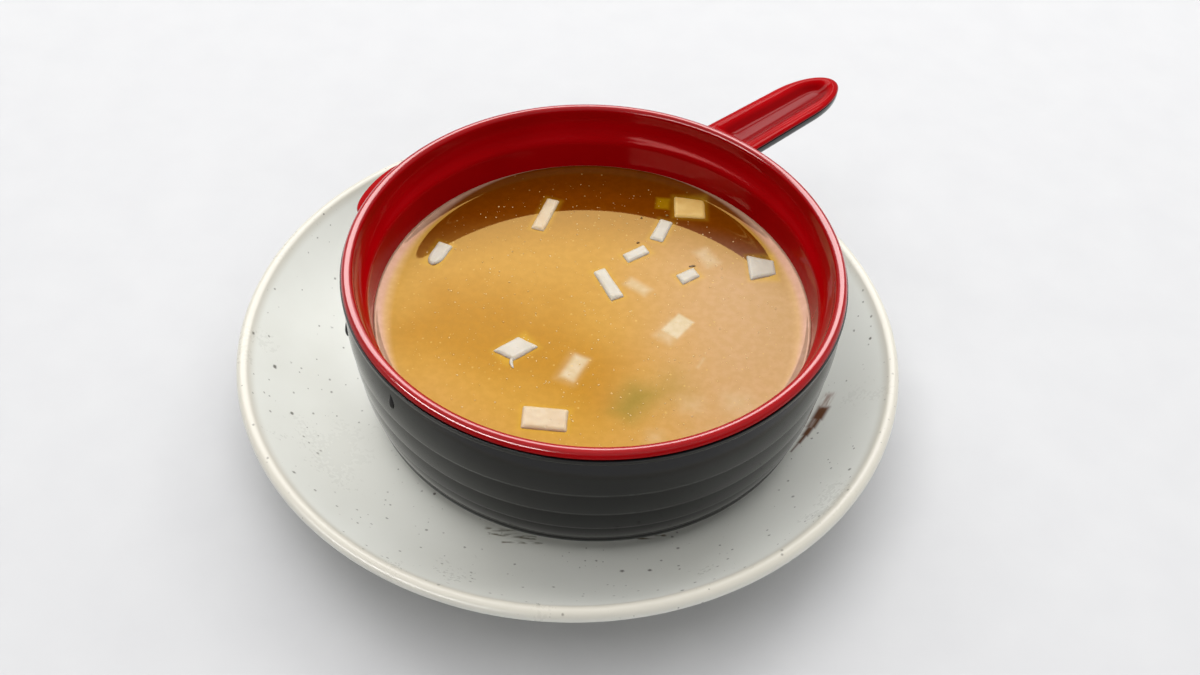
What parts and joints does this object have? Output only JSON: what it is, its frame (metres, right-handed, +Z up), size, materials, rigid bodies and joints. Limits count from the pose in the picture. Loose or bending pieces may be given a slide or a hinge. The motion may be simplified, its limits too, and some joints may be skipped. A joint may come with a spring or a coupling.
{
  "type": "miso soup",
  "caption": "Miso soup with floating tofu in a round black and red bowl with a long dished handle, standing on a speckled coupe plate.",
  "frame": {"origin": "on the table under the middle of the whole serving's footprint", "axes": "+Z up out of the soup, -Y towards the diner, +X to the diner's right; the handle points to +X and +Y"},
  "size_m": [0.1932, 0.201, 0.0578],
  "materials": {
    "speckled_glaze": "pale grey-green stoneware glaze with fine dark specks, satin to glossy",
    "black_melamine": "near-black melamine, glossy with faint scuffs",
    "red_melamine": "deep red melamine, glossy",
    "miso_broth": "cloudy golden broth, wet and mirror-smooth, with pale miso grains",
    "tofu": "ivory silken tofu, moist satin",
    "wakame": "dark green seaweed scraps, wet"
  },
  "bodies": {
    "root": {"plate": "speckled_glaze", "bowl_shell": "black_melamine", "bowl_liner": "red_melamine", "soup": "miso_broth", "tofu_01": "tofu", "tofu_02": "tofu", "tofu_03": "tofu", "tofu_04": "tofu", "tofu_05": "tofu", "tofu_06": "tofu", "tofu_07": "tofu", "tofu_08": "tofu", "tofu_09": "tofu", "tofu_10": "tofu"}
  },
  "joints": []
}
